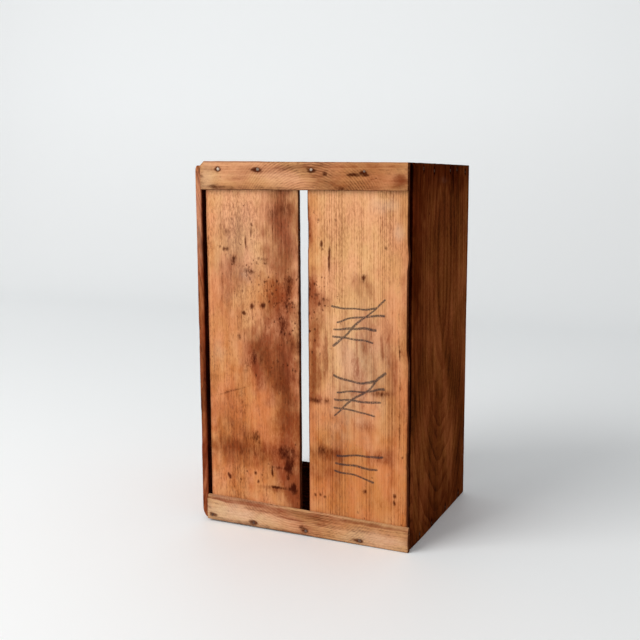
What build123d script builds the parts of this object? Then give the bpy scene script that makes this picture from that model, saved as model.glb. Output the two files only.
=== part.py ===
"""A nailed wooden apple crate, standing on one end the way it is used as a shelf.

Two thick end boards are boxed in by two thin side boards. Two thin slats make the crate's
bottom, and a cleat nailed across each end of the slats holds them down. The top is open.

The frame: +Z runs along the crate's length, from the end it stands on to the upper end.
-Y is the slatted bottom and +Y the open top. +X is to the right of somebody who faces the
slats. The origin lies on the floor, under the middle of the crate's outer box.
"""

from build123d import *
import os

# ---- Driving dimensions, in millimetres ----

crate_length = 495.0  # over both end boards, which is also the length of a side board
inside_width = 294.0  # between the two side boards
side_depth = 248.0  # width of a side board, from the slats to the open top
side_thickness = 9.5
end_thickness = 16.0
slat_thickness = 6.4
cleat_thickness = 6.4

slat_gap = 12.5  # daylight between the two slats
left_slat_inset = 10.0  # open gap between the left side board and the left slat
right_slat_lap = 5.5  # how far the right slat covers the right side board's edge

cleat_left_inset = 5.2  # from the left side board's inner face to a cleat's left end
upper_cleat_right_lap = 5.3  # how far the upper cleat runs over the right side board
upper_cleat_width = 35.0  # at its right end
lower_cleat_width = 32.6  # at its right end
cleat_flare = 3.4  # both cleats are this much wider at their left end
cleat_rise = 2.2  # and were nailed on this far out of level
upper_cleat_corner_cut = 6.5  # the sawn-off corner at the upper left
wane_depth = 2.6  # rounded, bark-side arris left along the lower cleat
wane_height = 12.0

nail_length = 38.0
nail_shank_radius = 1.15
nail_point_length = 3.5
nail_point_radius = 0.25
nail_head_radius = 2.8
nail_head_thickness = 1.0
nail_head_sink = 0.2  # how far below the wood the hammer left the heads
shank_clearance = 0.1  # all round a shank in its hole
head_clearance = 0.15  # all round a head in its seat
tip_clearance = 1.0  # left under a nail's point
nail_crossing_clearance = 8.0  # from the cleat nails' points to the first side nail
back_nail_margin = 21.0  # from the last side nail to the open top

corner_wear = 1.2  # rounding on the crate's long outer corners

# Where the nails were driven. Each row is set out along the board that it holds: first as
# shares of the board's width, then as steps in millimetres off the end board's middle.
upper_cleat_nails_in_left_slat = [(0.17, 2.4), (0.60, 1.7)]
upper_cleat_nails_in_right_slat = [(0.06, 0.9), (0.585, -1.6)]
lower_cleat_nails_in_left_slat = [(0.022, 0.2), (0.50, -1.2)]
lower_cleat_nails_in_right_slat = [(-0.018, -0.8), (0.545, -1.7)]  # the first one missed
upper_right_side_nails = [(0.0, 1.0), (0.23, -1.5), (0.61, -0.7), (0.775, 0.7), (1.0, -1.8)]
lower_right_side_nails = [(0.0, 0.8), (0.27, -1.7), (0.61, -0.8), (0.965, -0.5)]
upper_left_side_nails = [(0.0, -0.8), (0.26, 0.9), (0.52, -1.4), (0.76, 0.4), (1.0, 1.3)]
lower_left_side_nails = [(0.0, 1.2), (0.31, -0.6), (0.66, 0.7), (0.98, -1.1)]

# ---- Sizes and places that follow from them ----

outside_depth = side_depth + slat_thickness + cleat_thickness
side_front = -outside_depth / 2 + cleat_thickness + slat_thickness  # Y of the sides' edges
side_back = side_front + side_depth  # Y of the open top
slat_face = side_front - slat_thickness  # Y of the slats' outer face
cleat_face = slat_face - cleat_thickness  # Y of the cleats' outer face
inner_right = inside_width / 2
inner_left = -inside_width / 2
outer_right = inner_right + side_thickness
outer_left = inner_left - side_thickness

slat_width = (inside_width - left_slat_inset - slat_gap + right_slat_lap) / 2
left_slat_edge = inner_left + left_slat_inset
right_slat_edge = left_slat_edge + slat_width + slat_gap

cleat_left = inner_left + cleat_left_inset
upper_cleat_right = inner_right + upper_cleat_right_lap
lower_cleat_right = outer_right  # sawn off flush with the side board

lower_end_middle = end_thickness / 2
upper_end_middle = crate_length - end_thickness / 2

nail_hole_radius = nail_shank_radius + shank_clearance
head_seat_radius = nail_head_radius + head_clearance
head_seat_depth = nail_head_thickness + nail_head_sink
nail_hole_depth = head_seat_depth + nail_length + tip_clearance
cleat_nail_reach = nail_hole_depth - cleat_thickness - slat_thickness
first_side_nail = side_front + cleat_nail_reach + nail_crossing_clearance
side_nail_run = side_back - back_nail_margin - first_side_nail


# ---- Nail seats: a place on the wood's face, its Z pointing out of the wood ----


def cleat_seats(end_middle, left_slat_nails, right_slat_nails):
    """Seats on a cleat's face, above the slats that the nails go through."""
    places = [(left_slat_edge + share * slat_width, step) for share, step in left_slat_nails]
    places += [(right_slat_edge + share * slat_width, step) for share, step in right_slat_nails]
    face = Plane(origin=(0, cleat_face, 0), x_dir=(1, 0, 0), z_dir=(0, -1, 0))
    return [face * Location((x, end_middle + step, 0)) for x, step in places]


def side_seats(face_x, outward, end_middle, side_nails):
    """Seats down a side board's outer face, over the edge of an end board."""
    face = Plane(origin=(face_x, 0, 0), x_dir=(0, outward, 0), z_dir=(outward, 0, 0))
    places = [(first_side_nail + share * side_nail_run, step) for share, step in side_nails]
    return [face * Location((outward * y, end_middle + step, 0)) for y, step in places]


upper_cleat_seats = cleat_seats(
    upper_end_middle, upper_cleat_nails_in_left_slat, upper_cleat_nails_in_right_slat
)
lower_cleat_seats = cleat_seats(
    lower_end_middle, lower_cleat_nails_in_left_slat, lower_cleat_nails_in_right_slat
)
upper_right_seats = side_seats(outer_right, 1, upper_end_middle, upper_right_side_nails)
lower_right_seats = side_seats(outer_right, 1, lower_end_middle, lower_right_side_nails)
upper_left_seats = side_seats(outer_left, -1, upper_end_middle, upper_left_side_nails)
lower_left_seats = side_seats(outer_left, -1, lower_end_middle, lower_left_side_nails)


def drill(seats):
    """Cuts the shank holes of nails driven at the seats in the board being built."""
    with Locations(*seats):
        Hole(radius=nail_hole_radius, depth=nail_hole_depth)


def drill_and_seat(seats):
    """Cuts shank holes with a shallow seat for each head, in a board's outer face."""
    with Locations(*seats):
        CounterBoreHole(
            radius=nail_hole_radius,
            counter_bore_radius=head_seat_radius,
            counter_bore_depth=head_seat_depth,
            depth=nail_hole_depth,
        )


# ---- Boards ----


def end_board(bottom_z, seats):
    """A thick end board between the side boards, with all its nails' holes."""
    with BuildPart() as board:
        with BuildSketch(Plane.XY.offset(bottom_z)):
            with Locations((0, (side_front + side_back) / 2)):
                Rectangle(inside_width, side_depth)
        extrude(amount=end_thickness)
        drill(seats)
    return board


def side_board(inner_x, outward, seats):
    """A thin, wide side board nailed to the edges of both end boards."""
    with BuildPart() as board:
        with BuildSketch(Plane.XY):
            with Locations((inner_x + outward * side_thickness / 2, (side_front + side_back) / 2)):
                Rectangle(side_thickness, side_depth)
        extrude(amount=crate_length)
        outer_face = board.faces().sort_by(Axis.X)[-1 if outward > 0 else 0]
        fillet(outer_face.edges().filter_by(Axis.Z), radius=corner_wear)
        drill_and_seat(seats)
    return board


def bottom_slat(left_edge):
    """A thin slat as long as the crate, nailed to the front edges of both end boards."""
    with BuildPart() as slat:
        with BuildSketch(Plane.XZ.offset(-side_front)):
            with Locations((left_edge + slat_width / 2, crate_length / 2)):
                Rectangle(slat_width, crate_length)
        extrude(amount=slat_thickness)
        drill(upper_cleat_seats + lower_cleat_seats)
    return slat


def upper_cleat():
    """The cleat across the slats' upper end, wider at its left, one corner sawn off."""
    right_bottom = crate_length - upper_cleat_width
    left_bottom = right_bottom + cleat_rise
    left_top = left_bottom + upper_cleat_width + cleat_flare
    with BuildPart() as cleat:
        with BuildSketch(Plane.XZ.offset(-slat_face)) as outline:
            with BuildLine():
                Polyline(
                    (cleat_left, left_bottom),
                    (upper_cleat_right, right_bottom),
                    (upper_cleat_right, crate_length),
                    (cleat_left, left_top),
                    close=True,
                )
            make_face()
            top_left = outline.vertices().sort_by(Axis.Z)[-1]
            chamfer(top_left, length=upper_cleat_corner_cut)
        extrude(amount=cleat_thickness)
        drill_and_seat(upper_cleat_seats)
    return cleat


def lower_cleat():
    """The cleat across the slats' lower end, wider at its left, with wane on its arris."""
    with BuildPart() as cleat:
        with BuildSketch(Plane.XZ.offset(-slat_face)):
            with BuildLine():
                Polyline(
                    (cleat_left, cleat_rise),
                    (lower_cleat_right, 0),
                    (lower_cleat_right, lower_cleat_width),
                    (cleat_left, cleat_rise + lower_cleat_width + cleat_flare),
                    close=True,
                )
            make_face()
        extrude(amount=cleat_thickness)
        outer_face = cleat.faces().sort_by(Axis.Y)[0]
        upper_arris = outer_face.edges().sort_by(Axis.Z)[-1]
        chamfer(upper_arris, length=wane_height, length2=wane_depth, reference=outer_face)
        drill_and_seat(lower_cleat_seats)
    return cleat


# ---- Nails ----


def flat_head_nail():
    """One nail, its head's underside at Z 0 and its point down the -Z axis."""
    point_start = nail_point_length - nail_length
    with BuildPart() as nail:
        with BuildSketch(Plane.XZ):
            with BuildLine():
                Polyline(
                    (0, nail_head_thickness),
                    (nail_head_radius, nail_head_thickness),
                    (nail_head_radius, 0),
                    (nail_shank_radius, 0),
                    (nail_shank_radius, point_start),
                    (nail_point_radius, -nail_length),
                    (0, -nail_length),
                    close=True,
                )
            make_face()
        revolve(axis=Axis.Z)
    return nail


nail = flat_head_nail()


def nail_row(seats):
    """The nails of one row, each with its head's underside on the floor of its seat."""
    with BuildPart() as row:
        with Locations(*[seat * Location((0, 0, -head_seat_depth)) for seat in seats]):
            add(nail.part)
    return row


# ---- The crate ----

pieces = {
    "end_board_lower": end_board(0, lower_cleat_seats + lower_right_seats + lower_left_seats),
    "end_board_upper": end_board(
        crate_length - end_thickness, upper_cleat_seats + upper_right_seats + upper_left_seats
    ),
    "side_board_left": side_board(inner_left, -1, upper_left_seats + lower_left_seats),
    "side_board_right": side_board(inner_right, 1, upper_right_seats + lower_right_seats),
    "bottom_slat_left": bottom_slat(left_slat_edge),
    "bottom_slat_right": bottom_slat(right_slat_edge),
    "cleat_upper": upper_cleat(),
    "cleat_lower": lower_cleat(),
    "nails_cleat_upper": nail_row(upper_cleat_seats),
    "nails_cleat_lower": nail_row(lower_cleat_seats),
    "nails_side_left_upper": nail_row(upper_left_seats),
    "nails_side_left_lower": nail_row(lower_left_seats),
    "nails_side_right_upper": nail_row(upper_right_seats),
    "nails_side_right_lower": nail_row(lower_right_seats),
}

os.makedirs("parts", exist_ok=True)
for name, piece in pieces.items():
    piece.part.label = name
    export_step(piece.part, f"parts/{name}.step")
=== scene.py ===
"""The looks of a nailed wooden apple crate that stands on one of its ends.

Each board is a closed skin of small quads over the box that the frame gives for it. Its
arrises are rounded and its outline and faces are moved by functions of two parameters, so
chips, dents, wane and sawn corners are real shape. The timber is a solid pattern of growth
rings and fibres round each board's own heart, so faces, edges and end grain agree. Stains
that lie at one place are painted into a colour attribute of the skin, and so is painted
shade: on the boards' inner faces, on edges that look away from the light or into a gap,
and beside a slat.

Sizes are in millimetres, and become metres where a mesh or a shader takes them.
"""

import logging
from dataclasses import dataclass, field
from enum import Enum

import bpy
import numpy as np
from mathutils import Matrix, Vector


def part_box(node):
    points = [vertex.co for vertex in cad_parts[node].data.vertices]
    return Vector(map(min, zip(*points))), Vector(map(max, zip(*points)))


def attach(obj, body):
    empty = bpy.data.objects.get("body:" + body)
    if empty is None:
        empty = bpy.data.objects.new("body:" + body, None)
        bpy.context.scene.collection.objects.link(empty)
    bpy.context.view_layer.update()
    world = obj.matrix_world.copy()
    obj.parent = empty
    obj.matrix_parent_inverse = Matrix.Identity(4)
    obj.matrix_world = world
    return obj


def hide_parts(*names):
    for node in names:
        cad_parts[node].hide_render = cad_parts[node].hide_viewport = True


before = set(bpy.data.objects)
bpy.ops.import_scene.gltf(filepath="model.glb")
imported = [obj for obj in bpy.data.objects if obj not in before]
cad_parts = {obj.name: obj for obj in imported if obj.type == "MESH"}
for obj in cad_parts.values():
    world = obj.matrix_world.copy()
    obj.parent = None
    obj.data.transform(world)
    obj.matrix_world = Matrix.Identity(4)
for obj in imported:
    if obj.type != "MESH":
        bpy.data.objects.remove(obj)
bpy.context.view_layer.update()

LOG = logging.getLogger("crate")
MM = 0.001
Array = np.ndarray
Colour = tuple[float, float, float]
Socket = bpy.types.NodeSocket
Sockets = dict[str, Socket]


# ---- Numbers ----


def srgb(red: int, green: int, blue: int) -> Colour:
    """Turns a colour of 0 to 255 steps, as a screen shows it, into linear light.

    Args:
        red, green, blue: the screen's steps.

    Returns:
        The same colour as three linear shares from 0 to 1.
    """
    steps = np.array([red, green, blue]) / 255
    linear = np.where(steps <= 0.04045, steps / 12.92, ((steps + 0.055) / 1.055) ** 2.4)
    return tuple(float(value) for value in linear)


def scrambled(lattice: Array, seed: int) -> Array:
    """Gives each lattice point its own fixed number from -1 to 1.

    The three whole coordinates are multiplied by large primes, mixed bit by bit with the
    seed, and sixteen of the bits are kept.

    Args:
        lattice: n by 3 whole numbers.
        seed: picks one of many such tables.

    Returns:
        One number for each lattice point.
    """
    mixed = (lattice[:, 0] * 73856093) ^ (lattice[:, 1] * 19349663) ^ (lattice[:, 2] * 83492791)
    mixed = (mixed ^ (seed * 668265263)) * 1274126177
    mixed = (mixed ^ (mixed >> 15)) * 1103515245
    return ((mixed >> 12) & 0xFFFF) / 32767.5 - 1


def places(first: Array, second: Array | float = 0.0, third: float = 0.0) -> Array:
    """Rows of three coordinates for a noise; a plain number holds for every row."""
    return np.column_stack(np.broadcast_arrays(first, second, third))


def soft_noise(points: Array, cell: tuple[float, float, float], seed: int) -> Array:
    """Noise from -1 to 1 that changes smoothly from one lattice cell to the next.

    Args:
        points: n by 3 places.
        cell: the size of a lattice cell along each axis, in the units of the places.
        seed: picks one of many such noises.

    Returns:
        One value for each place: the random numbers at the eight corners of its cell,
        blended by 3t^2 - 2t^3 along each axis.
    """
    scaled = points / np.array(cell)
    corner = np.floor(scaled).astype(np.int64)
    blend = scaled - corner
    blend = blend * blend * (3 - 2 * blend)
    total = np.zeros(len(points))
    for step in np.ndindex(2, 2, 2):
        weight = np.prod(np.where(step, blend, 1 - blend), axis=1)
        total += weight * scrambled(corner + np.array(step), seed)
    return total


def ramp(value: Array, low: float, high: float) -> Array:
    """Rises smoothly from 0 at low to 1 at high, by 3t^2 - 2t^3, and stays flat outside."""
    share = np.clip((value - low) / (high - low), 0, 1)
    return share * share * (3 - 2 * share)


def bump(distance: Array, reach: float) -> Array:
    """A rounded hill, 1 in the middle and 0 from reach outwards: (1 - (d / reach)^2)^2."""
    return np.clip(1 - (distance / reach) ** 2, 0, 1) ** 2


# ---- Meshes ----


def grid_quads(number: Array) -> Array:
    """The quads between the points of a grid, whose numbers stand in rows and columns."""
    ring = [number[:-1, :-1], number[1:, :-1], number[1:, 1:], number[:-1, 1:]]
    return np.stack(ring, axis=-1).reshape(-1, 4)


def box_skin(steps: list[Array]) -> tuple[Array, Array]:
    """The closed skin of a box that is divided by the given steps along X, Y and Z.

    Each face is a grid of two parameters. A point has the same lattice number on every face
    that it lies on, so the six grids share the points of their rims.

    Args:
        steps: rising coordinates along each axis.

    Returns:
        n by 3 points and m by 4 corners of quads, which look outwards.
    """
    count = [len(values) for values in steps]
    sheets = []
    for axis in range(3):
        first, second = (axis + 1) % 3, (axis + 2) % 3
        rows, columns = np.meshgrid(np.arange(count[first]), np.arange(count[second]), indexing="ij")
        for end in (0, count[axis] - 1):
            place = np.zeros(rows.shape + (3,), dtype=np.int64)
            place[..., axis], place[..., first], place[..., second] = end, rows, columns
            quads = grid_quads((place[..., 0] * count[1] + place[..., 1]) * count[2] + place[..., 2])
            sheets.append(quads if end else quads[:, ::-1])
    used, quads = np.unique(np.concatenate(sheets), return_inverse=True)
    across, rest = np.divmod(used, count[1] * count[2])
    deep, high = np.divmod(rest, count[2])
    points = np.column_stack([steps[0][across], steps[1][deep], steps[2][high]])
    return points, quads.reshape(-1, 4)


def edged_steps(low: float, high: float, cell: float, arris: float) -> Array:
    """Steps from low to high: fine ones round each arris, and even ones of about a cell.

    Args:
        low, high: the ends of the box along one axis.
        cell: the size of an even step.
        arris: the radius that the fine steps have to carry.

    Returns:
        The rising coordinates of the steps.
    """
    fine = arris * np.array([0.0, 0.25, 0.6, 1.0, 1.5])
    room = high - low - 2 * fine[-1]
    middle = np.linspace(low + fine[-1], high - fine[-1], max(2, round(room / cell)) + 1)
    return np.concatenate([low + fine[:-1], middle, high - fine[-2::-1]])


def rounded(points: Array, low: Array, high: Array, radius: Array) -> Array:
    """Rounds a box's arrises: the nearest point of the box shrunk by the radius, plus the
    radius times the unit vector that leads from there to the point.

    Args:
        points: n by 3 points of the box's skin.
        low, high: the box's corners.
        radius: the arris radius at each point.

    Returns:
        The rounded skin's points.
    """
    reach = radius[:, None]
    core = np.clip(points, low + reach, high - reach)
    outward = points - core
    return core + reach * outward / np.linalg.norm(outward, axis=1, keepdims=True)


def new_piece(name: str, points: Array, faces: list[Array]) -> bpy.types.Object:
    """Puts points and faces into a mesh object at the origin.

    Args:
        name: the piece's name.
        points: n by 3, in millimetres.
        faces: arrays of corners, one array for each number of corners.

    Returns:
        The object, linked to the scene and shaded smooth.
    """
    mesh = bpy.data.meshes.new(name)
    mesh.vertices.add(len(points))
    mesh.vertices.foreach_set("co", (points * MM).ravel())
    corners = np.concatenate([sheet.ravel() for sheet in faces])
    totals = np.concatenate([np.full(len(sheet), sheet.shape[1]) for sheet in faces])
    mesh.loops.add(len(corners))
    mesh.loops.foreach_set("vertex_index", corners.astype(np.int32))
    mesh.polygons.add(len(totals))
    mesh.polygons.foreach_set("loop_start", np.concatenate([[0], np.cumsum(totals)[:-1]]))
    mesh.polygons.foreach_set("use_smooth", np.ones(len(totals), dtype=bool))
    mesh.update(calc_edges=True)
    mesh.validate()
    piece = bpy.data.objects.new(name, mesh)
    bpy.context.scene.collection.objects.link(piece)
    return piece


# ---- Shader wiring ----


class Wiring:
    """Adds nodes to one node tree, so that a finish reads as a list of steps."""

    def __init__(self, tree: bpy.types.NodeTree) -> None:
        """Keeps the tree that the nodes go into."""
        self.tree = tree

    def feed(self, socket: Socket, value: object) -> None:
        """Joins a socket to the value if that is a socket too, or else sets it to the value.

        Args:
            socket: the input.
            value: a socket, or a number, vector or colour.
        """
        if isinstance(value, bpy.types.NodeSocket):
            self.tree.links.new(value, socket)
        elif isinstance(value, tuple) and socket.type == "RGBA":
            socket.default_value = (*value, 1.0)
        else:
            socket.default_value = value

    def node(self, kind: str, inputs: dict[str | int, object], **settings: object) -> bpy.types.Node:
        """Adds a node.

        Args:
            kind: the node's type.
            inputs: a value or a socket for each input, by name or number.
            settings: the node's own properties.

        Returns:
            The node.
        """
        added = self.tree.nodes.new(kind)
        for setting, value in settings.items():
            setattr(added, setting, value)
        for key, value in inputs.items():
            self.feed(added.inputs[key], value)
        return added

    def maths(self, operation: str, *values: object, clamp: bool = False) -> Socket:
        """One step of arithmetic on numbers."""
        inputs = dict(enumerate(values))
        return self.node("ShaderNodeMath", inputs, operation=operation, use_clamp=clamp).outputs[0]

    def vector(self, operation: str, *values: object) -> Socket:
        """One step of arithmetic on vectors.

        Args:
            operation: the step's name.
            values: its inputs in order; a scale takes its factor as the last one.

        Returns:
            The vector, or the number where a length or a dot product gives one.
        """
        inputs: dict[str | int, object] = dict(enumerate(values))
        if operation == "SCALE":
            inputs = {0: values[0], "Scale": values[1]}
        added = self.node("ShaderNodeVectorMath", inputs, operation=operation)
        return added.outputs["Value" if operation in ("LENGTH", "DOT_PRODUCT") else "Vector"]

    def mixed(self, share: object, first: object, second: object, blend: str = "MIX") -> Socket:
        """Blends two colours.

        Args:
            share: how much of the second colour, from 0 to 1.
            first, second: the colours.
            blend: how the second is laid on the first.

        Returns:
            The blended colour.
        """
        inputs = {0: share, 6: first, 7: second}
        added = self.node("ShaderNodeMix", inputs, data_type="RGBA", blend_type=blend)
        return added.outputs[2]

    def spread(
        self, value: Socket, low: object, high: object, to_low: float = 0.0, to_high: float = 1.0
    ) -> Socket:
        """Maps low and high to two new values, smoothly in between and flat outside."""
        inputs = {0: value, 1: low, 2: high, 3: to_low, 4: to_high}
        return self.node("ShaderNodeMapRange", inputs, interpolation_type="SMOOTHSTEP").outputs[0]

    def noise(self, place: Socket, scale: float, detail: float = 2.0, rough: float = 0.5) -> Socket:
        """Smooth noise from 0 to 1 about a place."""
        inputs = {"Vector": place, "Scale": scale, "Detail": detail, "Roughness": rough}
        return self.node("ShaderNodeTexNoise", inputs).outputs[0]

    def shake(self, place: Socket, scale: float, detail: float, reach: object) -> Socket:
        """A vector that wanders with the place, up to about half of reach each way.

        Args:
            place: where it is read.
            scale: how many wanderings there are to a unit of the place.
            detail: how many finer layers of wandering it has.
            reach: the width of its range, in metres.

        Returns:
            The vector to add to a place.
        """
        inputs = {"Vector": place, "Scale": scale, "Detail": detail}
        wander = self.node("ShaderNodeTexNoise", inputs).outputs[1]
        return self.vector("SCALE", self.vector("SUBTRACT", wander, (0.5, 0.5, 0.5)), reach)

    def parts(self, vector: Socket) -> list[Socket]:
        """The three parts of a vector."""
        return list(self.node("ShaderNodeSeparateXYZ", {0: vector}).outputs)

    def joined(self, *parts: object) -> Socket:
        """A vector of three parts."""
        return self.node("ShaderNodeCombineXYZ", dict(enumerate(parts))).outputs[0]

    def effect(self, group: bpy.types.NodeTree, **inputs: object) -> Sockets:
        """Places a shared effect.

        Args:
            group: the effect.
            inputs: a value or a socket for each of its inputs, by name.

        Returns:
            Its outputs by name.
        """
        added = self.node("ShaderNodeGroup", {}, node_tree=group)
        for key, value in inputs.items():
            self.feed(added.inputs[key], value)
        return {output.name: output for output in added.outputs}


class Effect(Wiring):
    """A shader node group in the making, with named inputs and outputs."""

    def __init__(self, name: str, inputs: dict[str, str], outputs: list[str]) -> None:
        """Makes the group's interface.

        Args:
            name: the group's name.
            inputs: a socket kind, Vector or Float, for each input's name.
            outputs: the names of the outputs, which are all numbers.
        """
        super().__init__(bpy.data.node_groups.new(name, "ShaderNodeTree"))
        for label, kind in inputs.items():
            self.tree.interface.new_socket(label, in_out="INPUT", socket_type="NodeSocket" + kind)
        for label in outputs:
            self.tree.interface.new_socket(label, in_out="OUTPUT", socket_type="NodeSocketFloat")
        self.given = self.tree.nodes.new("NodeGroupInput").outputs
        self.result = self.tree.nodes.new("NodeGroupOutput").inputs

    def stretched(self, across: float, along: float) -> Socket:
        """The place, times one factor along its thickness and width and one along its grain."""
        return self.vector("MULTIPLY", self.given["Place"], (across, across, along))

    def on_face(self, place: Socket, start: Socket) -> Socket:
        """The way from a start to a place, without its part through the board's thickness."""
        return self.vector("MULTIPLY", self.vector("SUBTRACT", place, start), (0.0, 1.0, 1.0))

    def give(self, label: str, value: Socket) -> None:
        """Joins a value to one of the group's outputs."""
        self.feed(self.result[label], value)


class Finish(Wiring):
    """A material in the making."""

    def __init__(self, name: str) -> None:
        """Makes an empty material that reads the object's own coordinates.

        Args:
            name: the material's name.
        """
        self.made = bpy.data.materials.new(name)
        self.made.use_nodes = True
        self.made.node_tree.nodes.clear()
        super().__init__(self.made.node_tree)
        self.here = self.node("ShaderNodeTexCoord", {}).outputs["Object"]

    def painted(self, name: str) -> Socket:
        """The number that each point of the mesh carries under a name."""
        return self.node("ShaderNodeAttribute", {}, attribute_name=name).outputs["Fac"]

    def shaded(self, skin: Sockets, gloss: float) -> bpy.types.Material:
        """Ends the material in its shader.

        Args:
            skin: what changes over the surface, by the shader's input.
            gloss: the specular level, the same all over.

        Returns:
            The material.
        """
        shader = self.node("ShaderNodeBsdfPrincipled", skin)
        shader.inputs["Specular IOR Level"].default_value = gloss
        self.node("ShaderNodeOutputMaterial", {0: shader.outputs[0]})
        return self.made


# ---- Shared effects ----
# Every effect takes a Place: metres from a board's middle along its thickness, its width and
# its grain, in that order, so one effect serves boards that lie in any direction. A noise's
# scale is in cells per metre, and a place that is multiplied first has its cells drawn out
# or squeezed along those three. A spread names the values that become 0 and 1.


def growth_rings() -> bpy.types.NodeTree:
    """Rings about a heart line that runs with the grain and bows away from the board.

    The distance from the heart, wavered by slow noise, over the ring pitch, is a ring's
    number plus how far into its summer the wood is. Latewood is dark late in the year.

    Returns:
        The group, which gives Latewood and one Ring Shade for each year.
    """
    kinds = {"Place": "Vector", "Heart": "Vector", "Pitch": "Float", "Bow": "Float", "Waver": "Float"}
    e = Effect("growth rings", kinds, ["Latewood", "Ring Shade"])
    drift = e.shake(e.stretched(22.0, 3.5), 1.0, 3.0, e.given["Waver"])
    place = e.vector("ADD", e.vector("SUBTRACT", e.given["Place"], e.given["Heart"]), drift)
    deep, wide, along = e.parts(place)
    bowed = e.maths("ADD", deep, e.maths("MULTIPLY", e.maths("MULTIPLY", along, along), e.given["Bow"]))
    distance = e.vector("LENGTH", e.joined(bowed, wide, 0.0))
    years = e.maths("DIVIDE", distance, e.given["Pitch"])
    uneven = e.node("ShaderNodeTexNoise", {"W": years, "Scale": 0.31}, noise_dimensions="1D").outputs[0]
    years = e.maths("MULTIPLY_ADD", uneven, 2.4, years)
    season = e.maths("FRACT", years)
    rise = e.spread(season, 0.25, 0.9)
    fall = e.spread(season, 0.9, 1.0, 1.0, 0.0)
    patch = e.noise(e.stretched(48.0, 7.0), 1.0)
    faint = e.spread(patch, 0.36, 0.62, 0.5, 1.0)
    e.give("Latewood", e.maths("MULTIPLY", e.maths("MULTIPLY", rise, fall), faint))
    year = e.maths("FLOOR", years)
    e.give("Ring Shade", e.node("ShaderNodeTexWhiteNoise", {"W": year}, noise_dimensions="1D").outputs[0])
    return e.tree


def wood_fibre() -> bpy.types.NodeTree:
    """Long streaks along the grain, broad bands of them, short dark ticks and fine grit.

    Returns:
        The group, which gives Streak, Band, Tick and Grit.
    """
    e = Effect("wood fibre", {"Place": "Vector"}, ["Streak", "Band", "Tick", "Grit"])

    def drawn(across: float, along: float, detail: float, rough: float) -> Socket:
        """Noise drawn out along the grain, from cells per metre across and along it."""
        return e.noise(e.stretched(across, along), 1.0, detail, rough)

    e.give("Streak", drawn(330.0, 7.0, 4.0, 0.6))
    e.give("Band", drawn(62.0, 2.4, 2.0, 0.5))
    e.give("Tick", e.spread(drawn(620.0, 75.0, 2.0, 0.55), 0.55, 0.72))
    e.give("Grit", drawn(430.0, 190.0, 4.0, 0.7))
    return e.tree


def old_grime() -> bpy.types.NodeTree:
    """Clouds of handling and weather, a slow drift of hue, a ragged noise that breaks up
    stains, and dark spots.

    Each cell of a Voronoi pattern, shaken by noise, holds one spot if its random number is
    below Spots. Two more random numbers give the spot's size and how dark it is.

    Returns:
        The group, which gives Cloud, Hue, Ragged and Spot.
    """
    e = Effect("old grime", {"Place": "Vector", "Spots": "Float"}, ["Cloud", "Hue", "Ragged", "Spot"])
    loose = e.stretched(1.0, 0.55)
    e.give("Cloud", e.noise(loose, 15.0, 6.0, 0.62))
    e.give("Ragged", e.noise(e.stretched(1.0, 0.4), 85.0, 6.0, 0.7))
    e.give("Hue", e.spread(e.noise(loose, 34.0, 3.0), 0.35, 0.65))
    tight = e.vector("ADD", e.stretched(1.0, 0.7), e.shake(e.given["Place"], 460.0, 2.0, 0.0034))
    cells = e.node("ShaderNodeTexVoronoi", {"Vector": tight, "Scale": 270.0})
    chance, girth, depth = e.parts(cells.outputs["Color"])
    kept = e.maths("LESS_THAN", chance, e.given["Spots"])
    size = e.maths("MULTIPLY_ADD", e.maths("MULTIPLY", girth, girth), 0.44, 0.2)
    dot = e.spread(cells.outputs["Distance"], e.maths("MULTIPLY", size, 0.4), size, 1.0, 0.0)
    darkness = e.maths("MULTIPLY_ADD", depth, 0.6, 0.4)
    e.give("Spot", e.maths("MULTIPLY", e.maths("MULTIPLY", dot, kept), darkness))
    return e.tree


def saw_arcs() -> bpy.types.NodeTree:
    """The scores of a round saw: rings of even pitch about a centre, broken by noise and
    fading out towards Reach, where a plane has taken them off.

    Returns:
        The group, which gives Score.
    """
    kinds = {"Place": "Vector", "Centre": "Vector", "Pitch": "Float", "Reach": "Float"}
    e = Effect("saw arcs", kinds, ["Score"])
    distance = e.vector("LENGTH", e.on_face(e.given["Place"], e.given["Centre"]))
    ragged = e.maths("MULTIPLY", e.noise(e.given["Place"], 120.0, 2.0), 0.002)
    turns = e.maths("DIVIDE", e.maths("ADD", distance, ragged), e.given["Pitch"])
    wave = e.maths("SINE", e.maths("MULTIPLY", turns, 2 * np.pi))
    broken = e.spread(e.noise(e.given["Place"], 26.0, 3.0), 0.36, 0.54, 0.35, 1.0)
    left = e.spread(distance, e.maths("MULTIPLY", e.given["Reach"], 0.7), e.given["Reach"], 1.0, 0.12)
    score = e.maths("MULTIPLY", e.maths("MULTIPLY_ADD", wave, 0.5, 0.5), broken)
    e.give("Score", e.maths("MULTIPLY", score, left))
    return e.tree


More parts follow.
